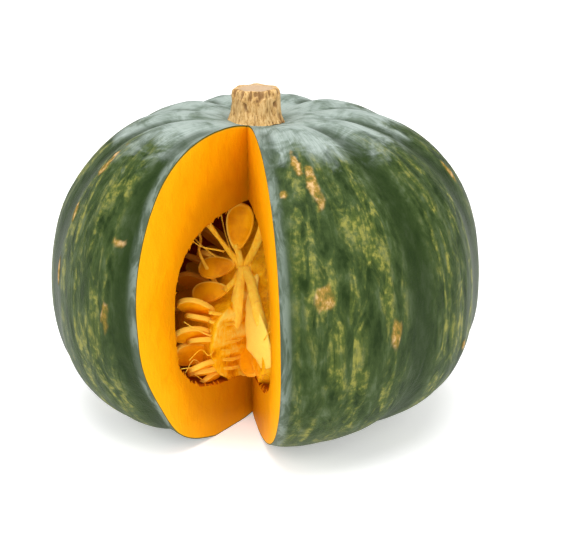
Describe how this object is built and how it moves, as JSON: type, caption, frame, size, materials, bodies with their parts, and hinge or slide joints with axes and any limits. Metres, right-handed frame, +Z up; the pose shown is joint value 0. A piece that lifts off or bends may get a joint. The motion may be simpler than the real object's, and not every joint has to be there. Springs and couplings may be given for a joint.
{
  "type": "cut kabocha squash",
  "caption": "Ribbed dark green kabocha squash standing upright, with one wedge cut out to bare orange flesh, pulp and seeds, and a corky stub of stem.",
  "frame": {"origin": "middle of the box's bottom face, on the surface that the fruit stands on", "axes": "+Z up through the stem; the notch left by the wedge opens towards -Y, and +X is to the right of it"},
  "size_m": [0.1894, 0.1852, 0.1481],
  "materials": {
    "skin": "dark green waxy skin, mottled yellow green along the ribs, over orange flesh at the cuts",
    "cork": "dry tan cork with brown pits and upright ridges",
    "pulp": "moist yellow orange fibres and coated seeds"
  },
  "bodies": {
    "root": {"squash_body": "skin", "stem": "cork", "seeds_in_pulp": "pulp"}
  },
  "joints": []
}
